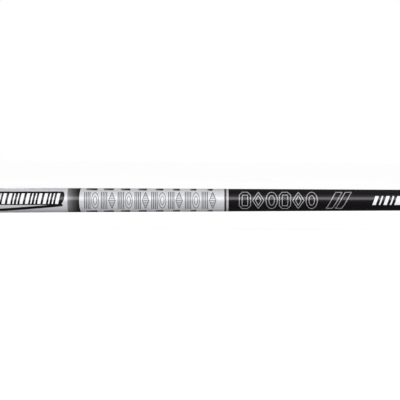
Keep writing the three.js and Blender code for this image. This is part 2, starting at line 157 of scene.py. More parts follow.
class Shader:
    """A Principled material with short calls to add nodes."""

    def __init__(self, name, **values):
        self.material = bpy.data.materials.new(name)
        self.material.use_nodes = True
        self.tree = self.material.node_tree
        self.surface = self.tree.nodes["Principled BSDF"]
        for key, value in values.items():
            self.set(key.replace("_", " "), value)

    def put(self, socket, value):
        """Link a socket to an output, or set it to a number, a vector or a colour."""
        if isinstance(value, bpy.types.NodeSocket):
            self.tree.links.new(value, socket)
        else:
            socket.default_value = rgba(value) if socket.type == "RGBA" else value

    def set(self, name, value):
        self.put(self.surface.inputs[name], value)

    def node(self, kind, inputs=None, **settings):
        made = self.tree.nodes.new("ShaderNode" + kind)
        for key, value in settings.items():
            setattr(made, key, value)
        for key, value in (inputs or {}).items():
            self.put(made.inputs[key], value)
        return made

    def place(self):
        return self.node("TexCoord").outputs["Object"]

    def noise(self, scale, detail=2.0, vector=None):
        inputs = {"Vector": vector or self.place(), "Scale": scale, "Detail": detail}
        return self.node("TexNoise", inputs).outputs["Fac"]

    def ramp(self, factor, *stops):
        made = self.node("ValToRGB", {"Fac": factor})
        elements = made.color_ramp.elements
        while len(elements) < len(stops):
            elements.new(0.5)
        for element, (where, colour) in zip(elements, stops):
            element.position = where
            element.color = rgba(colour)
        return made.outputs["Color"]

    def mix(self, factor, first, second):
        """A blend of two colours; each is a socket, a grey or a colour."""
        made = self.node("Mix", data_type="RGBA")
        for index, value in ((0, factor), (6, first), (7, second)):
            self.put(made.inputs[index], value)
        return made.outputs[2]

    def span(self, factor, low, high):
        return self.node("MapRange", {"Value": factor, "To Min": low, "To Max": high}).outputs["Result"]

    def math(self, operation, first, second=0.0):
        made = self.node("Math", operation=operation)
        for socket, value in zip(made.inputs, (first, second)):
            self.put(socket, value)
        return made.outputs[0]

    def blend(self, first, share, second, rest):
        """The sum of two values, each times its own share."""
        parts = self.math("MULTIPLY", first, share), self.math("MULTIPLY", second, rest)
        return self.math("ADD", *parts)

    def colour(self, factor, *stops):
        self.set("Base Color", self.ramp(factor, *stops))

    def rough(self, factor, low, high):
        self.set("Roughness", self.span(factor, low, high))

    def bump(self, height, strength, distance):
        """A bump on the surface; distance is in metres."""
        inputs = {"Height": height, "Strength": strength, "Distance": distance}
        self.set("Normal", self.node("Bump", inputs).outputs["Normal"])

    def stretched(self, across, up, deep):
        """Object coordinates scaled apart along X, Y and Z."""
        made = self.node("Mapping", {"Vector": self.place(), "Scale": (across, up, deep)})
        return made.outputs["Vector"]


# ---------------------------------------------------------------- shaft materials


def silver_paint():
    """Pearl silver under clear lacquer, with fine flake."""
    s = Shader("silver_pearl", Metallic=0.3, Coat_Weight=0.5, Coat_Roughness=0.12)
    flake = s.noise(9000, 1.0)
    cloud = s.noise(60, 3.0)
    tone = s.blend(flake, 0.6, cloud, 0.4)
    s.colour(tone, (0.3, (0.695, 0.70, 0.735)), (0.7, (0.795, 0.80, 0.825)))
    s.rough(flake, 0.38, 0.50)
    s.bump(flake, 0.03, 0.00002)
    return s.material


def black_paint():
    """Black lacquer with a faint warm fleck under it."""
    s = Shader("black_lacquer", Specular_Tint=(1.0, 0.84, 0.95), Coat_Weight=1.0, Coat_Roughness=0.1)
    fleck = s.noise(7000, 1.0)
    s.colour(fleck, (0.35, (0.002, 0.002, 0.0035)), (0.75, (0.006, 0.0055, 0.007)))
    s.rough(fleck, 0.26, 0.36)
    s.bump(fleck, 0.02, 0.00002)
    return s.material


def ink(name, dark, light, metallic=0.0, roughness=0.4):
    """Printed ink under the lacquer, a little uneven."""
    s = Shader(name, Metallic=metallic, Coat_Weight=0.5, Coat_Roughness=0.12)
    spread = s.noise(2500, 2.0)
    s.colour(spread, (0.3, dark), (0.7, light))
    s.rough(spread, roughness - 0.05, roughness + 0.05)
    s.bump(spread, 0.02, 0.00002)
    return s.material


def fading_ink():
    """Ink that goes from light to black along each bar, by the fade stored on its mesh."""
    s = Shader("fading_ink", Metallic=0.4, Coat_Weight=1.0, Coat_Roughness=0.1)
    fade = s.node("Attribute", attribute_name="fade").outputs["Fac"]
    grain = s.math("MULTIPLY", s.noise(2500, 2.0), 0.06)
    steps = ((0.0, (0.33, 0.325, 0.335)), (0.45, (0.11, 0.11, 0.115)), (0.9, (0.004, 0.004, 0.005)))
    s.colour(s.math("ADD", fade, grain), *steps)
    s.rough(fade, 0.34, 0.28)
    return s.material


# ---------------------------------------------------------------- shaft graphics: plain geometric ornament

# Shapes are drawn in (along, height) mm, where height is what shows from the front.
# A later shape covers the earlier ones, so a hole is a shape in the colour under it.

HALF_BAND = 4.9  # half the height of the ornament bands
FINE = 0.5  # width of a printed line
RING_BOW = 1.1  # how far the ring's end bows back in front


def parallelogram(start, width, low, high, lean=0.0):
    """A bar between two heights; lean is its slope from upright."""
    corners = ((start, low), (start + width, low), (start + width, high), (start, high))
    return [(x + lean * y, y) for x, y in corners]


def ellipse(centre, height, across, up, lean=0.0, steps=28):
    points = [(centre + across * math.cos(a), height + up * math.sin(a)) for a in turns(steps)]
    return [(x + lean * y, y) for x, y in points]


def inset(points, width):
    """A convex shape moved in by width, by meeting its shifted sides."""
    count = len(points)
    sides = []
    for i in range(count):
        (x0, y0), (x1, y1) = points[i], points[(i + 1) % count]
        length = math.hypot(x1 - x0, y1 - y0)
        normal = (-(y1 - y0) / length, (x1 - x0) / length)
        sides.append((normal, normal[0] * x0 + normal[1] * y0 + width))
    inner = []
    for i in range(count):
        (a, p), (b, q) = sides[i - 1], sides[i]
        cross = a[0] * b[1] - a[1] * b[0]
        inner.append(((p * b[1] - q * a[1]) / cross, (a[0] * q - b[0] * p) / cross))
    return inner


def outlined(points, line, fill, width=FINE):
    return [(points, line), (inset(points, width), fill)]


def capsule_mark():
    """A dark slanted capsule of white slanted bars over a tapering stripe, beside the grip."""
    start, low, high, lean = 289, -2.6, 5.1, 0.22
    middle, half = (low + high) / 2, (high - low) / 2
    stripe_end = 336
    stripe = [(287, -6.9), (stripe_end, -3.4), (stripe_end, -2.0), (287, -5.6)]
    shapes = [
        (stripe, "black"),
        (ellipse(stripe_end, -2.7, 0.9, 0.72), "black"),
        (ellipse(start, middle, 2.2, half, lean), "black"),
        (ellipse(start + 46.5, middle, 2.0, half, lean), "black"),
        (parallelogram(start, 46, low, high, lean), "black"),
    ]
    pitch, bars, gap = 5.1, 9, 1.2
    foot, head = -2.0, 4.1
    for i in range(bars):
        left = 290.2 + pitch * i
        first, second = (1.8, 0.75) if i % 2 else (0.75, 1.8)
        shapes.append((parallelogram(left, first, foot, head, lean), "white"))
        shapes.append((parallelogram(left + first + gap, second, foot, head, lean), "white"))
    return shapes


def deco_band():
    """Groups of fine upright lines with hatched lozenges and rings between them."""
    shapes = []
    pitch, groups, first = 9.62, 8, 349.2
    lozenge_half, thin = 2.1, 0.36
    for i in range(groups):
        left = first + pitch * i
        for j in range(4):
            shapes.append((parallelogram(left + 1.02 * j, FINE, -HALF_BAND, HALF_BAND), "grey_ink"))
        centre = left + 6.3
        if i % 2:
            left_tip, right_tip = (centre - lozenge_half, 0), (centre + lozenge_half, 0)
            lozenge = [(centre, -HALF_BAND), right_tip, (centre, HALF_BAND), left_tip]
            shapes += outlined(lozenge, "grey_ink", "silver", thin)
            for level in range(-3, 4):
                half = lozenge_half * (1 - abs(level) / HALF_BAND) - 0.4
                bar = parallelogram(centre - half, 2 * half, level - thin / 2, level + thin / 2)
                shapes.append((bar, "grey_ink"))
        else:
            for across in (2.2, 1.2):
                up = 2.1 * across
                shapes += [(ellipse(centre, 0, across, up), "grey_ink")]
                shapes += [(ellipse(centre, 0, across - thin, up - thin), "silver")]
    return shapes


def fine_band():
    """Thin silver outlines on the black: nested hexagons, lozenges and rings."""
    shapes = []
    pitch, first, half = 7.65, 441.3, 3.45
    nib = half * 0.45  # half of a hexagon's flat top
    for i in range(6):
        centre = first + pitch * i
        if i % 3 == 2:
            rings = [ellipse(centre, 0, half, HALF_BAND), ellipse(centre, 0, half - 1.7, HALF_BAND - 1.9)]
        else:
            rings = []
            for shrink in (0, 1.65):
                side, top = half - shrink, HALF_BAND - shrink
                knee = top * 0.62
                if i % 3:
                    corners = [(side, 0), (0, top), (-side, 0), (0, -top)]
                else:
                    corners = [(side, -knee), (side, knee), (nib, top), (-nib, top)]
                    corners += [(-side, knee), (-side, -knee), (-nib, -top), (nib, -top)]
                rings.append([(centre + x, y) for x, y in corners])
        for ring in rings:
            shapes += outlined(ring, "bright_line", "black", 0.38)
    for i in range(2):
        fin = parallelogram(490.5 + 5.4 * i, 4.0, -4.7, 4.8, 0.62)
        shapes += outlined(fin, "bright_line", "black", 0.36)
    return shapes


def slanted_mark():
    """Solid slanted white bars, wide and narrow, near the middle of the shaft."""
    shapes = []
    place, gap = 515.2, 1.7
    for width in (2.0, 0.9, 2.0, 0.9, 3.4, 0.9, 2.0, 0.9):
        shapes.append((parallelogram(place, width, -2.6, 2.5, 0.35), "white"))
        place += width + gap
    return shapes


def back_bars():
    """Bars that fade to black and wrap the back of the silver, and a full ring: (from, to, angle)."""
    bars = [(339.6, 347.45, None)]
    for i in range(8):
        end = 356.55 + 9.47 * i
        bars.append((end - 6.3 + 0.48 * i, end, math.radians(57)))
    return bars


def paint_zones():
    """Every painted shape as (points in the unrolled plane, colour, fade range or None)."""
    zones = []

    def unroll(points):
        out = []
        for x, height in points:
            ratio = max(-1.0, min(1.0, height / shaft_radius(x)))
            out.append((x, PAINT_FLAT * math.asin(ratio)))
        return out

    back = PAINT_FLAT * math.pi
    for start, end, angle in back_bars():
        if angle is None:
            bends = [math.pi * (i / 24 - 1) for i in range(49)]
            edge = [(end - RING_BOW * max(0, math.cos(turn)), PAINT_FLAT * turn) for turn in bends]
            zones.append(([(start, back), (start, -back), *edge], "fade", (start, end)))
            continue
        for low, high in ((angle * PAINT_FLAT, back), (-back, -angle * PAINT_FLAT)):
            zones.append(([(start, low), (end, low), (end, high), (start, high)], "fade", (start, end)))
    bands = ((SILVER_END, SILVER_END + 1.2, "dark_line"), (SILVER_END + 1.2, SILVER_END + 2.4, "pale_ink"))
    bands += ((SILVER_END + 2.4, PAINT_TO, "black"),)
    for start, end, colour in bands:
        zones.append(([(start, -back), (end, -back), (end, back), (start, back)], colour, None))
    for shapes in (capsule_mark(), deco_band(), fine_band(), slanted_mark()):
        zones += [(unroll(points), colour, None) for points, colour in shapes]
    return zones


COLOURS = ("silver", "black", "fade", "white", "pale_ink", "grey_ink", "bright_line", "dark_line")


def unrolled_paint():
    """Cut the painted stretch, unrolled flat, into triangles that each have one colour."""
    back = PAINT_FLAT * math.pi
    points, edges, faces = [], [], []

    def line(start, end):
        edges.append((len(points), len(points) + 1))
        points.extend((Vector(start), Vector(end)))

    for i in range(AROUND + 1):
        height = back * (2 * i / AROUND - 1)
        line((PAINT_FROM, height), (PAINT_TO, height))
    rings = 30
    for i in range(rings + 1):
        place = PAINT_FROM + (PAINT_TO - PAINT_FROM) * i / rings
        line((place, -back), (place, back))
    zones = paint_zones()
    for shape, _, _ in zones:
        faces.append(list(range(len(points), len(points) + len(shape))))
        points.extend(Vector(p) for p in shape)
    flat, _, triangles, _, _, owners = delaunay_2d_cdt(points, edges, faces, 0, 1e-5, True)
    colours, fades = [], []
    for triangle, owner in zip(triangles, owners):
        if not owner:
            colours.append("silver")
            fades.append(None)
            continue
        _, colour, fade = zones[max(owner)]
        colours.append(colour)
        fades.append(fade)
    return flat, triangles, colours, fades


def cone_normal(along, angle):
    """The outward direction of the tapering surface, in the shaft's frame."""
    slope = (shaft_radius(along - 1) - shaft_radius(along + 1)) / 2
    return Vector((slope, -math.cos(angle), math.sin(angle))).normalized()


def make_shaft(paints):
    """The whole shaft as one closed tube: painted outside, bare inside."""
    local, known = [], {}
    faces, slots, fades = [], [], []

    def corner(along, angle, radius):
        """The index of a point; one that is there already is shared, also across the seam."""
        facet = angle * AROUND / math.tau
        if abs(facet - round(facet)) < 1e-3:
            facet = round(facet) % AROUND
        key = (round(along, 3), facet, round(radius, 2))
        if key not in known:
            known[key] = len(local)
            local.append((along, angle, radius))
        return known[key]

    def add(corners, colour, fade=None):
        if len(set(corners)) == len(corners):
            faces.append(corners)
            slots.append(COLOURS.index(colour))
            fades.append(fade)

    def stretch(ends, colour):
        """Bands through (along, radius) pairs."""
        for (start, low), (end, high) in zip(ends, ends[1:]):
            for i in range(AROUND):
                near, far = (math.pi * (2 * k / AROUND - 1) for k in (i, i + 1))
                band = [corner(start, near, low), corner(end, near, high)]
                add(band + [corner(end, far, high), corner(start, far, low)], colour)

    def outside(start, end, steps):
        stations = [start + (end - start) * i / steps for i in range(steps + 1)]
        return [(along, shaft_radius(along)) for along in stations]

    flat, triangles, colours, ranges = unrolled_paint()
    for triangle, colour, fade in zip(triangles, colours, ranges):
        places = [(flat[i].x, flat[i].y / PAINT_FLAT) for i in triangle]
        add([corner(along, angle, shaft_radius(along)) for along, angle in places], colour, fade)
    stretch(outside(SHAFT_START, PAINT_FROM, 12), "silver")
    stretch(outside(PAINT_TO, SHAFT_END, 20), "black")
    places = (SHAFT_END, TIP_START, MID_END, BUTT_END, SHAFT_START)
    inside = [(along, shaft_radius(along) - SHAFT_WALL) for along in places]
    stretch([(SHAFT_END, TIP_RADIUS), *inside], "black")
    stretch([inside[-1], (SHAFT_START, BUTT_RADIUS)], "silver")

    points = [on_axis(SHAFT, along, radius, angle) for along, angle, radius in local]
    obj = mesh_object("shaft_painted", points, faces, [paints[c] for c in COLOURS], slots)
    mesh = obj.data
    attribute = mesh.attributes.new("fade", "FLOAT", "CORNER")
    turn = SHAFT.to_3x3()
    normals = []
    for polygon, fade in zip(mesh.polygons, fades):
        end_face = abs(polygon.normal.dot(along_axis)) > 0.9
        for index in polygon.loop_indices:
            along, angle, radius = local[mesh.loops[index].vertex_index]
            if fade:
                attribute.data[index].value = (along - fade[0]) / (fade[1] - fade[0])
            side = 1 if abs(radius - shaft_radius(along)) < 0.01 else -1
            normals.append(polygon.normal.copy() if end_face else turn @ (side * cone_normal(along, angle)))
    mesh.normals_split_custom_set(normals)
    return obj


# ---------------------------------------------------------------- build

paints = {
    "silver": silver_paint(),
    "black": black_paint(),
    "fade": fading_ink(),
    "white": ink("white_ink", (0.82, 0.82, 0.83), (0.9, 0.9, 0.91)),
    "pale_ink": ink("pale_ink", (0.50, 0.50, 0.52), (0.60, 0.60, 0.62), 0.2),
    "grey_ink": ink("grey_ink", (0.085, 0.08, 0.09), (0.12, 0.115, 0.125)),
    "bright_line": ink("bright_line", (0.55, 0.55, 0.57), (0.65, 0.65, 0.67), 0.5),
    "dark_line": ink("dark_line", (0.03, 0.03, 0.034), (0.05, 0.05, 0.054)),
}
finish_piece(make_shaft(paints), "shaft", "shaft")


# ---------------------------------------------------------------- solids, in mm


def frame_along(origin, direction, side=UP):
    """A frame whose X runs along direction; side only sets where its angles start."""
    x_axis = Vector(direction).normalized()
    y_axis = Vector(side).cross(x_axis).normalized()
    return axes_matrix(Vector(origin), x_axis, y_axis)


def skin(rings, loop=False):
    """A closed mesh through rings of points. Its ends are capped, or joined to each other in a loop."""
    count = len(rings[0])
    steps = list(zip(range(len(rings)), range(1, len(rings))))
    if loop:
        steps.append((len(rings) - 1, 0))
    faces = []
    for a, b in steps:
        for i in range(count):
            j = (i + 1) % count
            faces.append((a * count + i, a * count + j, b * count + j, b * count + i))
    if not loop:
        faces.append(range(count))
        faces.append(range((len(rings) - 1) * count, len(rings) * count))
    mesh = bpy.data.meshes.new("solid")
    mesh.from_pydata([p for ring in rings for p in ring], [], faces)
    work = bmesh.new()
    work.from_mesh(mesh)
    bmesh.ops.remove_doubles(work, verts=work.verts, dist=1e-4)
    bmesh.ops.recalc_face_normals(work, faces=work.faces)
    work.to_mesh(mesh)
    work.free()
    return mesh


def turned(place, profile, facets=72, shape=None):
    """A solid turned about the frame's X from (radius, along) points.

    It loops on itself unless the profile starts and ends on the axis. shape(radius, along, angle)
    may change a radius.
    """
    rings = []
    for radius, along in profile:
        ring = []
        for angle in turns(facets):
            reach = shape(radius, along, angle) if shape else radius
            ring.append(place @ Vector((along, reach * math.cos(angle), reach * math.sin(angle))))
        rings.append(ring)
    return skin(rings, loop=profile[0][0] > 0)


def rod(place, radius, start, end, facets=72):
    return turned(place, [(0, start), (radius, start), (radius, end), (0, end)], facets)


def eased(profile, reach, steps=4):
    """The same profile with its corners rounded; a profile off the axis is taken as a loop."""
    loop = profile[0][0] > 0
    count = len(profile)
    out = []
    for i, corner in enumerate(profile):
        if not loop and i in (0, count - 1):
            out.append(corner)
            continue
        here = Vector(corner)
        ends = []
        for other in (profile[i - 1], profile[(i + 1) % count]):
            way = Vector(other) - here
            ends.append(here + way * min(reach / way.length, 0.45))
        for j in range(steps + 1):
            part = j / steps
            out.append(tuple(ends[0].lerp(here, part).lerp(here.lerp(ends[1], part), part)))
    return out


def lobed_rod(place, radius, depth, count, start, end, steps=12):
    """A rod whose radius swings count times round, for keys and sockets."""

    def shape(reach, _, angle):
        return reach + depth * math.cos(count * angle) if reach else 0

    return turned(place, [(0, start), (radius, start), (radius, end), (0, end)], count * steps, shape)


def thread_profile(radius, start, end, pitch):
    """Close rings along a threaded stretch."""
    count = int((end - start) / pitch * 8)
    return [(radius, start + (end - start) * i / count) for i in range(count + 1)]


def thread_shape(crest, start, end, pitch, depth):
    """A shape for turned() that winds a helical groove round one radius."""

    def shape(radius, along, angle):
        if abs(radius - crest) > 0.01 or not start <= along <= end:
            return radius
        fade = min(1, (along - start) / pitch, (end - along) / pitch)
        wave = 0.5 + 0.5 * math.cos(math.tau * along / pitch - angle)
        return radius - depth * fade * wave

    return shape


def cut(*meshes):
    return [("DIFFERENCE", mesh) for mesh in meshes]


def keep(*meshes):
    return [("INTERSECT", mesh) for mesh in meshes]


def join(*meshes):
    return [("UNION", mesh) for mesh in meshes]


def carve(base, *steps):
    """Change a closed mesh by steps, each from cut, keep or join, in turn."""
    scene = bpy.context.scene
    objects = [bpy.data.objects.new("work", base)]
    for operation, mesh in chain(*steps):
        objects.append(bpy.data.objects.new("tool", mesh))
        modifier = objects[0].modifiers.new("cut", "BOOLEAN")
        modifier.operation = operation
        modifier.solver = "MANIFOLD"
        modifier.object = objects[-1]
    for obj in objects:
        scene.collection.objects.link(obj)
    graph = bpy.context.evaluated_depsgraph_get()
    result = bpy.data.meshes.new_from_object(objects[0].evaluated_get(graph))
    for obj in objects:
        bpy.data.objects.remove(obj)
    return result


def add_piece(name, mesh, place, material, body, crease=32):
    """Turn a mesh in mm into a piece of the model that stands for the CAD node of the same name."""
    mesh.transform(place @ Matrix.Scale(MM, 4))
    mesh.name = name
    mesh.materials.clear()
    mesh.materials.append(material)
    mesh.shade_smooth()
    mesh.set_sharp_from_angle(angle=math.radians(crease))
    return finish_piece(link_object(name + "_shell", mesh), body, name)


# ---------------------------------------------------------------- the head's surface

# Head at address, in mm: x to the toe, y to the target, z up.
GROUND_POINT = np.array((-22.0, 28.0, 0.0))
MIDDLE_HEIGHT = 28
TOE_REACH, HEEL_REACH = 62, 58
FRONT_REACH, REAR_REACH = 84, 70
CROWN_HEIGHT, SOLE_DEPTH = 31, 28
PLAN_POWER, CROWN_POWER, SOLE_POWER = 2.25, 2, 2.5
REAR_SKEW = 5
WALL = 1.1
GAP = 0.3  # between bonded parts
FACE_CENTRE = np.array((0.0, 45.5, 29.0))
LOFT = math.radians(10.5)
FACE_CURVE = 305
FACE_THICK = 3
FACE_INSET = 4
FACE_EDGE = 3.0  # how far the edge between face and shell is rounded
HOSEL_RADIUS = 6.8
HOSEL_TOP = 73
NECK_TOP = 67  # where the flare of the neck ends
NECK_FROM = 30
NECK_FLARE = 10.2
NECK_BLEND = 7.0
EDGE_CROWDING = 1.6
HOSEL_UP = np.array((-math.cos(LIE), 0.0, math.sin(LIE)))


def plan_radius(across, forward):
    a = np.where(across > 0, TOE_REACH, HEEL_REACH)
    b = np.where(forward > 0, FRONT_REACH, REAR_REACH)
    return (np.abs(across / a) ** PLAN_POWER + np.abs(forward / b) ** PLAN_POWER) ** (-1 / PLAN_POWER)


def skew_at(forward):
    return np.where(forward < 0, -REAR_SKEW * (forward / REAR_REACH) ** 2, 0)


def form_radius(way):
    """The rounded form's radius from its middle, in unit directions."""
    flat = np.maximum(np.hypot(way[:, 0], way[:, 1]), 1e-9)
    plan = plan_radius(way[:, 0] / flat, way[:, 1] / flat)
    height = np.where(way[:, 2] > 0, CROWN_HEIGHT, SOLE_DEPTH)
    power = np.where(way[:, 2] > 0, CROWN_POWER, SOLE_POWER)
    return ((flat / plan) ** power + (np.abs(way[:, 2]) / height) ** power) ** (-1 / power)


def form_level(points):
    way = points - np.stack((skew_at(points[:, 1]), 0 * points[:, 1], 0 * points[:, 1] + MIDDLE_HEIGHT), 1)
    length = np.linalg.norm(way, axis=1)
    return length - form_radius(way / length[:, None])


def face_level(points):
    x, y, z = (points - FACE_CENTRE).T
    forward = y * math.cos(LOFT) + z * math.sin(LOFT)
    up = z * math.cos(LOFT) - y * math.sin(LOFT)
    return forward + (x * x + up * up) / (2 * FACE_CURVE)


def neck_level(points):
    way = points - GROUND_POINT
    along = way @ HOSEL_UP
    away = np.linalg.norm(way - along[:, None] * HOSEL_UP, axis=1)
    return -soft_min(neck_radius(np.maximum(along, NECK_FROM)) - away, along - NECK_FROM, NECK_BLEND)


def neck_radius(along):
    """The neck's radius at heights up the hosel."""
    return HOSEL_RADIUS + NECK_FLARE * (np.maximum(NECK_TOP - along, 0) / (NECK_TOP - NECK_FROM)) ** 1.25


def soft_min(first, second, reach):
    part = np.clip(0.5 + (second - first) / (2 * reach), 0, 1)
    return second * (1 - part) + first * part - reach * part * (1 - part)


def shell_level(points):
    """Below zero inside the head without its neck; the face meets the shell in a rounded edge."""
    return -soft_min(-form_level(points), -face_level(points), FACE_EDGE)


def outer_level(points):
    return soft_min(shell_level(points), neck_level(points), NECK_BLEND)


def outer_slope(points, step=0.02):
    """The gradient of outer_level."""
    sides = np.eye(3) * step
    return np.stack([(outer_level(points + s) - outer_level(points - s)) / (2 * step) for s in sides], 1)


# ---------------------------------------------------------------- sizes of the hosel and the weight

# Heights are in mm up the hosel from the ground point, and up the weight from its face.
COLLAR_HEIGHT = 7
FERRULE_HEIGHT = 22
SHAFT_TIP = 46
SLEEVE_BOTTOM, SLEEVE_RADIUS, KEY_LENGTH = 38, 5.1, 6
KEY_RADIUS, KEY_DEPTH, KEYS = 3.9, 0.45, 8
SLEEVE_THREAD = 2.7
BUSH_BOTTOM, BUSH_RADIUS, BUSH_TOP = 36, 5.25, 45
SEAT_BOTTOM, SEAT_HOLE_RADIUS = 32, 3.1
BORE_RADIUS, PORT_RADIUS, PORT_TUBE_RADIUS = 5.4, 5.6, 7.6
SCREW_RADIUS, SCREW_HEAD_RADIUS, SCREW_TOP = 2.4, 4.3, 45.2
SCREW_PITCH, WEIGHT_PITCH, THREAD_DEPTH = 0.8, 1.0, 0.38
WASHER_TOP = SEAT_BOTTOM - GAP / 2
WASHER_THICK = 0.9
HEAD_TOP = WASHER_TOP - WASHER_THICK - 0.1
HEAD_BOTTOM = HEAD_TOP - 4.5
RETAINER_INNER, RETAINER_THICK = 3.6, 1.6
SOCKET_RADIUS, SOCKET_DEPTH, LOBE = 2.5, 3, 0.35
GLUE_GAP = 0.12
BOSS_HEIGHT = 17
WEIGHT_RADIUS, WEIGHT_THICK, WEIGHT_PORT_RADIUS = 11.5, 6, 12
STUB_RADIUS, STUB_LENGTH = 2.9, 8.5
WEIGHT_SOCKET_RADIUS, WEIGHT_SOCKET_DEPTH = 2.7, 3.5
RING_INNER, RING_OUTER, RING_THICK = 7.5, 9.5, 1.2
INSERT_RADIUS, INSERT_LENGTH = 4.2, 5.5


# ---------------------------------------------------------------- the head's solids

SIDE_AXIS = Vector((0, 1, 0))
HOSEL = frame_along(GROUND_POINT, HOSEL_UP, SIDE_AXIS)
WEIGHT_CENTRE = Vector((-3, -46, 3.4))
WEIGHT_TILT = math.radians(12)
WEIGHT = frame_along(WEIGHT_CENTRE, (0, math.sin(WEIGHT_TILT), math.cos(WEIGHT_TILT)), (1, 0, 0))
HEAD = (
    CLUB
    @ Matrix.Translation((CLUB_LENGTH * MM, 0, 0))
    @ Matrix.Rotation(LIE, 4, "Z")
    @ Matrix.Rotation(-math.pi / 2, 4, "X")
    @ Matrix.Translation(Vector(-GROUND_POINT * MM))
)


def ring_ways(tilt, around):
    """Unit directions in a ring round the Y axis, tilted from it by a level or by one for each turn."""
    turn = np.array(turns(around))
    up = tilt + 0 * turn
    return np.stack((np.cos(up) * np.cos(turn), np.sin(up), np.cos(up) * np.sin(turn)), 1)


def sphere_ways(around, rings):
    """Unit directions in rings from the back to the front, so that the face's edge runs along them."""
    return np.concatenate([ring_ways(math.pi * (i / rings - 0.5), around) for i in range(rings + 1)])


def halved(low, high, is_low):
    """Where is_low changes from true to false between two arrays of bounds."""
    for _ in range(40):
        middle = (low + high) / 2
        below = is_low(middle)
        low, high = np.where(below, middle, low), np.where(below, high, middle)
    return low


def form_points(ways, radii):
    """The points at radii along ways from the form's middle."""
    points = ways * radii[:, None]
    points[:, 0] += skew_at(points[:, 1])
    points[:, 2] += MIDDLE_HEIGHT
    return points


def closed_form(radii, ways, around):
    points = form_points(ways, radii)
    return skin([points[i : i + around] for i in range(0, len(points), around)])


def form(depth, around=144, rings=72):
    """The rounded form before the face is cut, shrunk by depth."""
    ways = sphere_ways(around, rings)
    return closed_form(form_radius(ways) - depth, ways, around)


def edge_tilts(around):
    """The tilt at which the face cuts the form, for each turn round the Y axis."""

    def behind(tilt):
        ways = ring_ways(tilt, around)
        return face_level(form_points(ways, form_radius(ways))) < 0

    return halved(np.zeros(around), np.full(around, math.pi / 2), behind)


def shell_ways(around, behind, before):
    """Unit directions in rings that crowd together along the face's edge."""
    edge = edge_tilts(around)
    tilts = [edge - (edge + math.pi / 2) * (1 - i / behind) ** EDGE_CROWDING for i in range(behind + 1)]
    tilts += [edge + (math.pi / 2 - edge) * (i / before) ** EDGE_CROWDING for i in range(1, before + 1)]
    return np.concatenate([ring_ways(tilt, around) for tilt in tilts])


def shell_form(around=300, behind=120, before=45):
    """The head without its neck, as far along each direction as shell_level lets it go."""
    ways = shell_ways(around, behind, before)
    nearest, farthest = np.full(len(ways), 5.0), np.full(len(ways), 120.0)
    radii = halved(nearest, farthest, lambda reach: shell_level(form_points(ways, reach)) < 0)
    return closed_form(radii, ways, around)


def face_point(x, up, out):
    """A head point at x and up on the face, out in front of its surface."""
    forward = out - (x * x + up * up) / (2 * FACE_CURVE)
    y = FACE_CENTRE[1] + forward * math.cos(LOFT) - up * math.sin(LOFT)
    z = FACE_CENTRE[2] + forward * math.sin(LOFT) + up * math.cos(LOFT)
    return (x, y, z)


def behind_face(depth):
    """A block whose front is the face's surface moved back by depth."""
    across, up, deep = 85, 65, 220
    rings = []
    for i in range(61):
        x = across * (i / 30 - 1)
        front = [face_point(x, up * (j / 20 - 1), -depth) for j in range(41)]
        back = [face_point(x, up * (j / 20 - 1), -depth - deep) for j in range(40, -1, -1)]
        rings.append(front + back)
    return skin(rings)


def prism(outline, start, end):
    return skin([[(x, y, z) for x, y in outline] for z in (start, end)])


def plan_prism(margin, start, end, steps=144):
    """An upright prism over the head's widest outline, inset by margin."""
    outline = []
    for bearing in turns(steps):
        radius = float(plan_radius(math.cos(bearing), math.sin(bearing))) - margin
        y = radius * math.sin(bearing)
        outline.append((radius * math.cos(bearing) + float(skew_at(y)), y))
    return prism(outline, start, end)


def disc(x, y, radius, steps=72):
    return [(x + radius * math.cos(a), y + radius * math.sin(a)) for a in turns(steps)]


CROWN_MARGIN, CROWN_SETBACK, NECK_CLEARANCE = 7, 15, 17
SOLE_MARGIN, SOLE_SETBACK, KEEL_HALF_WIDTH = 10, 30, 8
WEIGHT_SURROUND, PORT_SURROUND, BOSS_RADIUS = 3, 13, 13.6
PANEL_THICK = 0.95
SHELF_ROOT, SHELF_WIDTH, SHELF_THICK, SHELF_OVERLAP = 1.5, 3, 1.1, 0.2
SLOT_DEPTH, FILLER_DEPTH = 2, 1
COARSE = (96, 48)  # facets round and rings of the surfaces that stay inside the head
UV_UNIT = 100.0  # mm of the head's plan in each unit of its UV
TOW_WIDTH = 2.0
SLIVER = 0.01  # area of a face too thin to have a normal of its own


# In the prisms below, grow widens the outline all round, or narrows it when it is below zero.


def crown_prism(grow):
    return carve(
        plan_prism(CROWN_MARGIN - grow, MIDDLE_HEIGHT + 2, 90),
        keep(behind_face(CROWN_SETBACK - grow)),
        cut(rod(HOSEL, NECK_CLEARANCE - grow, 20, 110)),
    )


def sole_prism(side, grow):
    """side is 1 at the toe and -1 at the heel."""
    inner = KEEL_HALF_WIDTH - grow
    outer, ends = 100 + inner, 150
    half = [(side * inner, -ends), (side * outer, -ends), (side * outer, ends), (side * inner, ends)]
    weight = disc(WEIGHT_CENTRE.x, WEIGHT_CENTRE.y, BOSS_RADIUS + WEIGHT_SURROUND - grow)
    port = disc(GROUND_POINT[0], GROUND_POINT[1], PORT_SURROUND - grow)
    return carve(
        plan_prism(SOLE_MARGIN - grow, -20, MIDDLE_HEIGHT - 2),
        keep(behind_face(SOLE_SETBACK - grow), prism(half, -50, 50)),
        cut(prism(weight, -100, 100), prism(port, -100, 100)),
    )


# Each panel's name and the prism that cuts it out, larger by grow.
PANELS = {
    "crown_panel": crown_prism,
    "sole_panel_toe": lambda grow: sole_prism(1, grow),
    "sole_panel_heel": lambda grow: sole_prism(-1, grow),
}


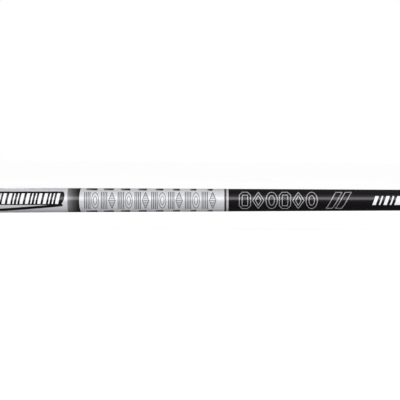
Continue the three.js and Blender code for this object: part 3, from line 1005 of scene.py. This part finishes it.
def slot_prism(grow):
    start, end, width, middle = -10, 46, 5, 35.5
    half = width / 2 + grow
    outline = []
    for centre, turn in ((end - half, -math.pi / 2), (start + half, math.pi / 2)):
        for i in range(13):
            angle = turn + math.pi * i / 12
            outline.append((centre + half * math.cos(angle), middle + half * math.sin(angle)))
    return prism(outline, -15, 15)


def outer_shell():
    """The whole outside of the head, with the neck flowing into the crown."""
    reach = [(0, NECK_FROM)] + [(float(neck_radius(t)), t) for t in np.linspace(NECK_FROM, HOSEL_TOP, 60)]
    mesh = carve(shell_form(), join(turned(HOSEL, reach + [(0, HOSEL_TOP)], 120)))
    points = mesh_points(mesh)
    along = (points - GROUND_POINT) @ HOSEL_UP
    for _ in range(5):
        slope = outer_slope(points)
        push = outer_level(points) / np.maximum((slope * slope).sum(1), 1e-6)
        points -= np.where(along < HOSEL_TOP - 0.01, push, 0)[:, None] * slope
    mesh.vertices.foreach_set("co", points.ravel())
    return mesh


def mesh_points(mesh):
    points = np.empty(len(mesh.vertices) * 3)
    mesh.vertices.foreach_get("co", points)
    return points.reshape(-1, 3)


def add_head_piece(name, mesh, material, body, rim=None):
    """A piece of the head, whose outside takes its normals from the surface's own formula.

    rim is a material for its edges and its inside, where those differ.
    """
    points = mesh_points(mesh)
    slope = outer_slope(points)
    slope /= np.maximum(np.linalg.norm(slope, axis=1), 1e-9)[:, None]
    near = np.abs(outer_level(points)) < 0.12
    turn = np.array(HEAD.to_3x3())
    normals = np.zeros((len(mesh.loops), 3))
    inside = np.ones(len(mesh.polygons), int)
    for polygon in mesh.polygons:
        corners = list(polygon.vertices)
        facing = float(slope[corners].mean(0) @ np.array(polygon.normal))
        if near[corners].all() and (facing > 0.3 or polygon.area < SLIVER):
            inside[polygon.index] = 0
            normals[polygon.loop_start : polygon.loop_start + len(corners)] = slope[corners] @ turn.T
    plan = mesh.uv_layers.new(name="plan") if not mesh.uv_layers else mesh.uv_layers[0]
    where = np.array([loop.vertex_index for loop in mesh.loops])
    plan.data.foreach_set("uv", (points[where, :2] / UV_UNIT).ravel())
    obj = add_piece(name, mesh, HEAD, material, body, crease=18)
    obj.data.normals_split_custom_set(normals.tolist())
    if rim:
        obj.data.materials.append(rim)
        obj.data.polygons.foreach_set("material_index", inside)
    return obj


def shelf(area, width):
    """A ledge behind a panel's edge, of this width, or a floor behind the slot when width is 0."""
    ring = cut(area(-width)) if width else []
    depth = WALL + (SHELF_THICK if width else SLOT_DEPTH + SHELF_THICK)
    return carve(
        area(SHELF_ROOT),
        ring,
        keep(form(WALL - SHELF_OVERLAP, *COARSE)),
        cut(form(depth, *COARSE)),
    )


def head_body_mesh(outer):
    tube = rod(HOSEL, PORT_TUBE_RADIUS, -5, HOSEL_TOP - 2)
    boss = rod(WEIGHT, BOSS_RADIUS, -3, BOSS_HEIGHT)
    cavity = carve(
        form(WALL, *COARSE),
        keep(behind_face(FACE_THICK)),
        cut(tube, boss),
    )
    core = form(PANEL_THICK + GAP)
    bore = [(0, BUSH_BOTTOM - GAP), (BORE_RADIUS, BUSH_BOTTOM - GAP), (BORE_RADIUS, HOSEL_TOP - 0.5)]
    bore += [(BORE_RADIUS + 1, HOSEL_TOP + 0.5), (0, HOSEL_TOP + 0.5)]
    cuts = [carve(form(FACE_INSET - GAP), cut(behind_face(FACE_THICK + GAP)))]
    cuts += [carve(area(GAP), cut(core)) for area in PANELS.values()]
    shelves = [shelf(area, SHELF_WIDTH) for area in PANELS.values()] + [shelf(slot_prism, 0)]
    cuts += [
        carve(slot_prism(0), cut(form(WALL + SLOT_DEPTH, *COARSE))),
        turned(HOSEL, bore),
        rod(HOSEL, SEAT_HOLE_RADIUS, SEAT_BOTTOM - 1, HOSEL_TOP),
        rod(HOSEL, PORT_RADIUS, -20, SEAT_BOTTOM),
        rod(WEIGHT, WEIGHT_PORT_RADIUS, -12, WEIGHT_THICK + RING_THICK + GAP),
        rod(WEIGHT, INSERT_RADIUS + GAP, 0, BOSS_HEIGHT - 1.2),
    ]
    return carve(outer.copy(), cut(cavity), join(*shelves), cut(*cuts))


def face_plate_mesh():
    """The face, with its score lines toe and heel of a plain middle."""
    section = ((0.28, -0.45), (0.5, 0.6), (-0.5, 0.6), (-0.28, -0.45))
    middle, longest, lines = 11, 40, 4
    grooves = []
    for row in range(-lines, lines + 1):
        up = 3.4 * row
        end = longest * math.sqrt(1 - (up / 27) ** 2)
        for side in (-1, 1):
            rings = []
            for i in range(17):
                x = side * (middle + (end - middle) * i / 16)
                rings.append([face_point(x, up + half, out) for half, out in section])
            grooves.append(skin(rings))
    return carve(form(FACE_INSET), keep(behind_face(0)), cut(behind_face(FACE_THICK), *grooves))


# ---------------------------------------------------------------- hosel, screw and weight


def ferrule_mesh():
    start = HOSEL_TOP + GAP + COLLAR_HEIGHT + GAP
    end = start + FERRULE_HEIGHT
    bore = TIP_RADIUS + GLUE_GAP
    slope = []
    for i in range(25):
        part = i / 24
        fall = (HOSEL_RADIUS - TIP_RADIUS - 0.5) * part ** 1.7
        slope.append((HOSEL_RADIUS - fall, start + 4 + (FERRULE_HEIGHT - 4.6) * part))
    rings = []
    for groove in (1.4, 2.6):
        rings += [(HOSEL_RADIUS, start + groove - 0.2), (HOSEL_RADIUS - 0.18, start + groove),
                  (HOSEL_RADIUS, start + groove + 0.2)]
    profile = [(bore, start), (HOSEL_RADIUS - 0.2, start), (HOSEL_RADIUS, start + 0.2), *rings, *slope,
               (TIP_RADIUS + 0.35, end), (bore, end)]
    return turned(HOSEL, profile, 96)


def adapter_mesh():
    """The tip adapter: a collar with index ticks, a barrel, and keys at its lower end."""
    bottom, top = HOSEL_TOP + GAP, HOSEL_TOP + GAP + COLLAR_HEIGHT
    pocket, floor = TIP_RADIUS + GLUE_GAP, SHAFT_TIP - GAP
    key_top = SLEEVE_BOTTOM + KEY_LENGTH
    barrel = turned(HOSEL, [
        (SLEEVE_THREAD, key_top), (SLEEVE_RADIUS - 0.4, key_top), (SLEEVE_RADIUS, key_top + 0.4),
        (SLEEVE_RADIUS, bottom - 3), (SLEEVE_RADIUS - 0.3, bottom - 2.6), (SLEEVE_RADIUS - 0.3, bottom),
        (HOSEL_RADIUS - 0.25, bottom), (HOSEL_RADIUS, bottom + 0.25),
        (HOSEL_RADIUS, bottom + 1.9), (HOSEL_RADIUS - 0.22, bottom + 2.1), (HOSEL_RADIUS, bottom + 2.3),
        (HOSEL_RADIUS, top - 0.25), (HOSEL_RADIUS - 0.25, top),
        (pocket, top), (pocket, floor), (SLEEVE_THREAD, floor),
    ], 96)
    keyed = lobed_rod(HOSEL, KEY_RADIUS, KEY_DEPTH, KEYS, SLEEVE_BOTTOM, key_top + 1)
    bore = rod(HOSEL, SLEEVE_THREAD, SLEEVE_BOTTOM - 1, key_top + 2)
    ticks = []
    for i, angle in enumerate(turns(KEYS)):
        place = HOSEL @ Matrix.Rotation(angle, 4, "X")
        tick_top, half = top - 0.9, 0.22
        low = tick_top - (1.7 if i else 3.2)
        corners = [(low, -half), (tick_top, -half), (tick_top, half), (low, half)]
        levels = (HOSEL_RADIUS - 0.25, HOSEL_RADIUS + 1)
        ticks.append(skin([[place @ Vector((x, y, out)) for x, y in corners] for out in levels]))
    return carve(barrel, join(carve(keyed, cut(bore))), cut(*ticks))


def bush_mesh():
    top = SLEEVE_BOTTOM + KEY_LENGTH - GAP
    profile = [(0, BUSH_BOTTOM), (BUSH_RADIUS, BUSH_BOTTOM), (BUSH_RADIUS, top), (0, top)]
    seat = lobed_rod(HOSEL, KEY_RADIUS + GAP, KEY_DEPTH, KEYS, SLEEVE_BOTTOM - GAP, BUSH_TOP + 1)
    hole = rod(HOSEL, SEAT_HOLE_RADIUS, BUSH_BOTTOM - 1, BUSH_TOP + 1)
    return carve(turned(HOSEL, eased(profile, 0.3)), cut(seat, hole))


def bolt_mesh(place, head, stub, start, floor, end, pitch, socket):
    """A socket-headed bolt: a rounded head, a plain neck and a threaded end."""
    thread_from = floor + 1.2
    profile = eased([(0, start), (head, start), (head, floor), (stub, floor)], 0.5)[:-1]
    profile += [(stub, floor)] + thread_profile(stub, thread_from, end - 0.5, pitch)
    profile += [(stub - 0.5, end), (0, end)]
    shape = thread_shape(stub, thread_from, end - 0.5, pitch, THREAD_DEPTH)
    radius, depth = socket
    rim, bevel = start - 0.01, start + 0.45
    mouth = turned(place, [(0, rim), (radius + 0.75, rim), (radius + 0.2, bevel), (0, bevel)])
    hole = lobed_rod(place, radius, LOBE, 6, start - 1, start + depth)
    return carve(turned(place, profile, 72, shape), cut(hole, mouth))


def weight_mesh():
    """The rear weight, with a turned recess and a fine ring on its face."""
    end = WEIGHT_THICK + STUB_LENGTH
    socket = (WEIGHT_SOCKET_RADIUS, WEIGHT_SOCKET_DEPTH)
    blank = bolt_mesh(WEIGHT, WEIGHT_RADIUS, STUB_RADIUS, 0, WEIGHT_THICK, end, WEIGHT_PITCH, socket)
    recess = turned(WEIGHT, [(5.0, -1), (9.6, -1), (9.0, 0.55), (5.6, 0.55)], 120)
    groove = turned(WEIGHT, [(10.2, -1), (10.6, -1), (10.6, 0.3), (10.2, 0.3)], 120)
    return carve(blank, cut(recess, groove))


def ring_mesh(place, inner, outer, start, end, ease=0.3, facets=96):
    return turned(place, eased([(inner, start), (outer, start), (outer, end), (inner, end)], ease), facets)


# ---------------------------------------------------------------- grip and cap, in mm along the club

CAP_RADIUS, CAP_THICK, VENT_RADIUS = 13.9, 3, 1.1
GRIP_END = 270
GRIP_BUTT_RADIUS, GRIP_MOUTH_RADIUS = 13.1, 8.6
TAPE_THICK = 0.25
TREAD_DEPTH, TREAD_PITCH, TREAD_STARTS = 0.5, 12.6, 8
TREAD_BANDS = ((12, 5), (98, 3), (186, 3), (258, 13))  # the middle and half length of each plain band
TREAD_GROOVES, GROOVE_HALF = (17.8, 94.0, 102.0, 182.0, 190.0, 244.0), 0.75
LINE = CLUB.copy()  # the club's frame in mm of the world, for meshes that then stay where they are
LINE.translation = CLUB.translation / MM
STILL = Matrix()


def grip_radius(along):
    """The grip's taper: quick at the butt, then even, with a short collar at the mouth."""
    places = (SHAFT_START, 60, GRIP_END - 20, GRIP_END)
    radii = (GRIP_BUTT_RADIUS, GRIP_BUTT_RADIUS - 1.2, GRIP_MOUTH_RADIUS + 0.5, GRIP_MOUTH_RADIUS)
    return float(np.interp(along, places, radii))


def tread(along, angle):
    """How deep the grip's tread is cut, from 0 to 1: crossing helixes, parted by plain bands."""
    if any(abs(along - middle) < half for middle, half in TREAD_BANDS):
        return 0.0
    if any(abs(along - groove) < GROOVE_HALF for groove in TREAD_GROOVES):
        return 1.0
    wind = math.tau * along / TREAD_PITCH
    deepest = max(abs(math.sin(TREAD_STARTS * angle + wind)), abs(math.sin(TREAD_STARTS * angle - wind)))
    part = min(1, max(0, (deepest - 0.7) / 0.27))
    return part * part * (3 - 2 * part)


def grip_mesh():
    """The grip: a treaded outside with eased ends, and a bore that follows the taped shaft."""
    steps = 500
    bore = 2 * GLUE_GAP + TAPE_THICK
    profile = []
    for i in range(steps + 1):
        along = SHAFT_START + (GRIP_END - SHAFT_START) * i / steps
        edge = min(along - SHAFT_START, GRIP_END - along)
        profile.append((grip_radius(along) - 0.5 * max(0, 1 - edge / 0.8) ** 2, along))
    profile += [(shaft_radius(along) + bore, along) for along in (GRIP_END, BUTT_END, SHAFT_START)]

    def shape(radius, along, angle):
        outside = radius > shaft_radius(along) + bore
        return radius - TREAD_DEPTH * tread(along, angle) if outside else radius

    return turned(LINE, profile, 144, shape)


def cap_mesh():
    """The end cap: a domed disc with two fine steps round its vent."""
    vent = [(VENT_RADIUS, 0.5), (VENT_RADIUS + 0.4, 0.25)]
    inner_step = [(4.4, 0.25), (4.6, 0.5), (5.0, 0.5), (5.2, 0.25)]
    outer_step = [(10.6, 0.12), (10.8, 0.5), (11.3, 0.5), (11.5, 0.02)]
    dome = [(12.8, 0.0), (13.4, 0.12), (13.75, 0.42), (CAP_RADIUS, 0.95), (CAP_RADIUS, CAP_THICK - 0.45)]
    back = [(CAP_RADIUS - 0.15, CAP_THICK - 0.12), (CAP_RADIUS - 0.4, CAP_THICK), (VENT_RADIUS, CAP_THICK)]
    return turned(LINE, vent + inner_step + outer_step + dome + back, 120)


def sleeve_mesh(stations, inner, outer, facets=72):
    """A thin sleeve that follows the shaft's taper, between two distances from its surface."""
    profile = [(shaft_radius(a) + inner, a) for a in stations]
    profile += [(shaft_radius(a) + outer, a) for a in reversed(stations)]
    return turned(LINE, profile, facets)


# ---------------------------------------------------------------- materials of the grip and the head


def rubber(name, dark, light, grain, rough):
    """Moulded rubber: speckled tone, a fine grain, and wear that is smoother and paler."""
    s = Shader(name)
    wear = s.noise(45, 3.0)
    speck = s.noise(grain, 2.0)
    tone = s.blend(wear, 0.7, speck, 0.3)
    s.colour(tone, (0.35, dark), (0.7, light))
    s.rough(tone, rough + 0.14, rough - 0.12)
    s.bump(speck, 0.25, 0.00005)
    return s.material


def plastic(name, dark, light, rough, coat=0.0):
    s = Shader(name, Coat_Weight=coat, Coat_Roughness=0.06)
    cloud = s.noise(120, 3.0)
    s.colour(cloud, (0.3, dark), (0.7, light))
    s.rough(cloud, rough - 0.04, rough + 0.05)
    s.bump(s.noise(900, 2.0), 0.05, 0.00003)
    return s.material


def metal(name, dark, light, rough, brush, depth=0.08, coat=0.0):
    """Metal with a directional finish; brush is its noise scale along X, Y and Z."""
    s = Shader(name, Metallic=1.0, Coat_Weight=coat, Coat_Roughness=0.2)
    lines = s.noise(1.0, 3.0, s.stretched(*brush))
    cloud = s.noise(70, 3.0)
    tone = s.blend(lines, 0.55, cloud, 0.45)
    s.colour(tone, (0.3, dark), (0.7, light))
    s.rough(tone, rough - 0.07, rough + 0.08)
    s.bump(lines, depth, 0.00003)
    return s.material


def blasted_titanium():
    """Dark coated titanium: a fine blasted grain, a little brown in the light, worn paler in places."""
    s = Shader("blasted_titanium", Metallic=0.9, Coat_Weight=0.25, Coat_Roughness=0.3)
    grain = s.noise(2600, 2.0)
    cloud = s.noise(38, 4.0)
    tone = s.blend(grain, 0.4, cloud, 0.6)
    stops = (0.3, (0.045, 0.046, 0.05)), (0.62, (0.075, 0.075, 0.078)), (0.8, (0.11, 0.107, 0.105))
    s.colour(tone, *stops)
    s.rough(tone, 0.34, 0.5)
    s.bump(grain, 0.18, 0.00004)
    return s.material


def carbon_twill():
    """Clear-coated carbon twill: tows of fine fibres, each passing over two and under two. The tows on top
    and the crown of each tow are painted lighter, as a painted sheen.
    """
    s = Shader("carbon_twill", Coat_Weight=1.0, Coat_Roughness=0.04)
    split = s.node("SeparateXYZ", {"Vector": s.node("UVMap", uv_map="plan").outputs["UV"]})
    u, v = (s.math("MULTIPLY", split.outputs[axis], UV_UNIT / TOW_WIDTH) for axis in ("X", "Y"))
    step = s.math("SUBTRACT", s.math("FLOOR", u), s.math("FLOOR", v))
    over = s.math("LESS_THAN", s.math("FLOORED_MODULO", step, 4.0), 2.0)
    under = s.math("SUBTRACT", 1.0, over)

    def tow(across, along):
        """A tow's rounded height, which also paints a sheen along its crown, and its fibres."""
        swell_and_sheen = s.math("ABSOLUTE", s.math("SINE", s.math("MULTIPLY", across, math.pi)))
        lines = {"X": s.math("MULTIPLY", across, 14.0), "Y": s.math("MULTIPLY", along, 0.7)}
        return swell_and_sheen, s.noise(1.0, 2.0, s.node("CombineXYZ", lines).outputs["Vector"])

    swell_and_sheen, fibre = (
        s.blend(warp, over, weft, under)
        for warp, weft in zip(tow(u, v), tow(v, u))
    )
    # painted sheen: the tows on top are painted lighter than those under them, and each tow is lighter
    # along its crown
    tone = s.math("ADD", s.blend(over, 0.32, fibre, 0.5), s.math("MULTIPLY", swell_and_sheen, 0.18))
    s.colour(tone, (0.15, (0.006, 0.006, 0.007)), (0.9, (0.042, 0.043, 0.047)))
    s.rough(over, 0.28, 0.42)
    s.bump(s.math("ADD", swell_and_sheen, s.math("MULTIPLY", fibre, 0.3)), 0.5, 0.00012)
    return s.material


# ---------------------------------------------------------------- the pieces, from the grip to the head


def build_grip():
    grip = rubber("grip_rubber", (0.010, 0.010, 0.011), (0.028, 0.028, 0.029), 1800, 0.72)
    cap = rubber("cap_rubber", (0.008, 0.008, 0.009), (0.018, 0.018, 0.019), 2400, 0.55)
    tape = plastic("tape_paper", (0.60, 0.56, 0.43), (0.72, 0.68, 0.55), 0.85)
    foam = rubber("plug_foam", (0.66, 0.61, 0.48), (0.82, 0.77, 0.65), 900, 0.85)
    add_piece("grip_sleeve", grip_mesh(), STILL, grip, "shaft", crease=60)
    add_piece("grip_cap", cap_mesh(), STILL, cap, "shaft")
    stations = [SHAFT_START + 1, BUTT_END, GRIP_END - 2]
    sleeve = sleeve_mesh(stations, GLUE_GAP, GLUE_GAP + TAPE_THICK)
    add_piece("grip_tape", sleeve, STILL, tape, "shaft")
    bore = TIP_RADIUS - SHAFT_WALL - GLUE_GAP
    low, high = SHAFT_END - 12, SHAFT_END - 1
    plug = eased([(0, low), (bore, low), (bore, high), (0, high)], 0.6)
    add_piece("tip_plug", turned(LINE, plug), STILL, foam, "shaft")


def build_hosel():
    gloss = plastic("ferrule_gloss", (0.006, 0.006, 0.007), (0.012, 0.012, 0.013), 0.2, coat=0.8)
    dark, light = (0.035, 0.036, 0.04), (0.07, 0.071, 0.076)
    alloy = metal("black_anodised", dark, light, 0.36, (2400, 60, 60), coat=0.2)
    steel = metal("screw_steel", (0.34, 0.34, 0.36), (0.50, 0.50, 0.52), 0.3, (2200, 90, 90))
    trim = rubber("trim_rubber", (0.012, 0.012, 0.013), (0.030, 0.030, 0.031), 2000, 0.62)
    add_piece("ferrule", ferrule_mesh(), HEAD, gloss, "shaft")
    add_piece("adapter_sleeve", adapter_mesh(), HEAD, alloy, "shaft")
    add_piece("hosel_bush", bush_mesh(), HEAD, alloy, "head")
    socket = (SOCKET_RADIUS, SOCKET_DEPTH)
    screw = bolt_mesh(
        HOSEL, SCREW_HEAD_RADIUS, SCREW_RADIUS, HEAD_BOTTOM, HEAD_TOP, SCREW_TOP, SCREW_PITCH, socket
    )
    add_piece("hosel_screw", screw, HEAD, steel, "hosel_screw")
    low = WASHER_TOP - WASHER_THICK
    washer = ring_mesh(HOSEL, SCREW_RADIUS + 0.2, SCREW_HEAD_RADIUS, low, WASHER_TOP, 0.15)
    add_piece("screw_washer", washer, HEAD, steel, "hosel_screw")
    high = HEAD_BOTTOM - GAP
    retainer = ring_mesh(HOSEL, RETAINER_INNER, PORT_RADIUS - 0.1, high - RETAINER_THICK, high)
    add_piece("screw_retainer", retainer, HEAD, trim, "head")
    return trim, steel


def build_head(trim, steel):
    body = blasted_titanium()
    face = metal("face_titanium", (0.20, 0.205, 0.215), (0.34, 0.345, 0.36), 0.36, (900, 60, 60), 0.12)
    carbon = carbon_twill()
    weight = metal("weight_steel", (0.17, 0.17, 0.175), (0.27, 0.27, 0.275), 0.32, (1500, 120, 120))
    outer = outer_shell()
    core = form(PANEL_THICK)
    add_head_piece("head_body", head_body_mesh(outer), body, "head")
    add_head_piece("face_plate", face_plate_mesh(), face, "head")
    for name, area in PANELS.items():
        mesh = carve(outer.copy(), cut(core), keep(area(0)))
        add_head_piece(name, mesh, carbon, "head", rim=trim)
    filler = carve(outer.copy(), cut(form(WALL + FILLER_DEPTH)), keep(slot_prism(-GAP)))
    add_head_piece("slot_insert", filler, trim, "head")
    add_piece("rear_weight", weight_mesh(), HEAD, weight, "rear_weight")
    start = WEIGHT_THICK + 0.1
    seal = ring_mesh(WEIGHT, RING_INNER, RING_OUTER, start, start + RING_THICK, 0.5)
    add_piece("weight_ring", seal, HEAD, trim, "weight_ring")
    start = WEIGHT_THICK + RING_THICK + GAP + 0.5
    insert = ring_mesh(WEIGHT, STUB_RADIUS + 0.2, INSERT_RADIUS, start, start + INSERT_LENGTH, 0.2)
    add_piece("weight_insert", insert, HEAD, steel, "head")


build_grip()
build_head(*build_hosel())


# ---------------------------------------------------------------- floor, light and camera

VIEW_FROM = 300.0  # the stretch of shaft that the camera frames, in mm from the grip's end
VIEW_TO = 530.8
LENS = 135.0
SENSOR = 36.0
VIEW_RAISE = 0.1  # mm that the camera's aim is above the shaft's axis
ELEVATION = math.radians(1.5)
WORLD_SEEN = 1.0
WORLD_DIFFUSE = 0.3
WORLD_GLOSSY = 0.05
FLOOR_BOUNCE = 0.7  # how pale the floor is to diffuse rays
FLOOR_MIRRORED = 0.08  # and to glossy ones
FLOOR_GLOW = 0.5
SUN = 0.78


def make_stage():
    """A wide pale floor and a pale world; glossy rays see them darker, as in a tented studio."""
    size = 40
    corners = [(-size, -size, 0), (size, -size, 0), (size, size, 0), (-size, size, 0)]
    s = Shader("pale_floor", Roughness=0.95, Specular_IOR_Level=0.0)
    path = s.node("LightPath")
    seen = path.outputs["Is Camera Ray"]
    mottle = s.ramp(s.noise(4, 2.0), (0.3, 0.86), (0.7, 0.9))
    unseen = s.mix(path.outputs["Is Glossy Ray"], FLOOR_BOUNCE, FLOOR_MIRRORED)
    s.set("Base Color", s.mix(seen, unseen, mottle))
    s.set("Emission Color", (1, 1, 1))
    s.set("Emission Strength", s.math("MULTIPLY", seen, FLOOR_GLOW))
    floor = mesh_object("floor", corners, [[0, 1, 2, 3]], [s.material])
    world = bpy.data.worlds.new("studio")
    bpy.context.scene.world = world
    world.use_nodes = True
    nodes, links = world.node_tree.nodes, world.node_tree.links
    background = nodes["Background"]
    path = nodes.new("ShaderNodeLightPath")
    seen = nodes.new("ShaderNodeMix")
    seen.inputs["A"].default_value = WORLD_DIFFUSE
    seen.inputs["B"].default_value = WORLD_SEEN
    glossy = nodes.new("ShaderNodeMix")
    glossy.inputs["B"].default_value = WORLD_GLOSSY
    links.new(path.outputs["Is Camera Ray"], seen.inputs["Factor"])
    links.new(seen.outputs["Result"], glossy.inputs["A"])
    links.new(path.outputs["Is Glossy Ray"], glossy.inputs["Factor"])
    links.new(glossy.outputs["Result"], background.inputs["Strength"])
    background.inputs["Color"].default_value = (1, 1, 1, 1)


def softbox(name, centre, target, width, height, power, glossy=True):
    """A rectangular light at centre, turned to face target, with its width along X."""
    data = bpy.data.lights.new(name, "AREA")
    data.shape = "RECTANGLE"
    data.size = width
    data.size_y = height
    data.energy = power
    light = link_object(name, data)
    light.location = centre
    light.rotation_euler = (Vector(target) - Vector(centre)).to_track_quat("-Z", "Y").to_euler()
    light.visible_camera = False
    light.visible_glossy = glossy
    return light


def make_camera():
    """Square to the framed stretch of shaft, level with it."""
    middle = SHAFT @ Vector(((VIEW_FROM + VIEW_TO) / 2 * MM, 0, 0)) + UP * VIEW_RAISE * MM
    distance = (VIEW_TO - VIEW_FROM) * MM * LENS / SENSOR
    data = bpy.data.cameras.new("camera")
    data.lens = LENS
    data.sensor_width = SENSOR
    data.clip_end = 100
    camera = link_object("camera", data)
    back = (Vector((0, -math.cos(ELEVATION), 0)) + UP * math.sin(ELEVATION)).normalized()
    up = back.cross(along_axis).normalized()
    if up.z < 0:
        up = -up
    turn = Matrix((along_axis, up, along_axis.cross(up))).transposed().to_4x4()
    camera.matrix_world = Matrix.Translation(middle + back * distance) @ turn
    bpy.context.scene.camera = camera
    return middle


def make_sun():
    """An even, very soft light from above, so that the floor is pale all the way to the horizon."""
    data = bpy.data.lights.new("sky", "SUN")
    data.energy = SUN
    data.angle = math.radians(120)
    link_object("sky", data).visible_glossy = False


make_stage()
make_sun()
view_middle = make_camera()
bpy.context.scene.view_settings.view_transform = "Standard"


def strip_light(name, low, high, power, distance=0.8, width=1.8, glossy=True):
    """A strip parallel to the shaft, seen from it between two elevations, in front of it."""
    middle_angle = (low + high) / 2
    reach = Vector((0, -math.cos(middle_angle), math.sin(middle_angle))) * distance
    height = 2 * distance * math.tan((high - low) / 2)
    return softbox(name, view_middle + reach, view_middle, width, height, power, glossy)


def gloss_box(name, centre, width, height, power):
    """A light that only shows as a reflection, to draw the head's form and leave the shaft as it is."""
    light = softbox(name, centre, (0.55, 0, 0.05), width, height, power)
    light.visible_diffuse = False


gloss_box("gloss_top", (0.85, 0.15, 1.1), 0.9, 0.9, 9)
gloss_box("gloss_toe", (1.7, -0.7, 0.55), 0.5, 0.9, 6)
gloss_box("gloss_back", (1.0, 1.3, 0.6), 1.1, 0.5, 7)
gloss_box("gloss_heel", (-0.9, 1.5, 0.9), 1.0, 0.6, 8)
strip_light("key_strip", math.radians(6), math.radians(34), 4.7)
strip_light("upper_strip", math.radians(34), math.radians(62), 0.5)
strip_light("front_fill", math.radians(-0.5), math.radians(3), 2.7, glossy=False)
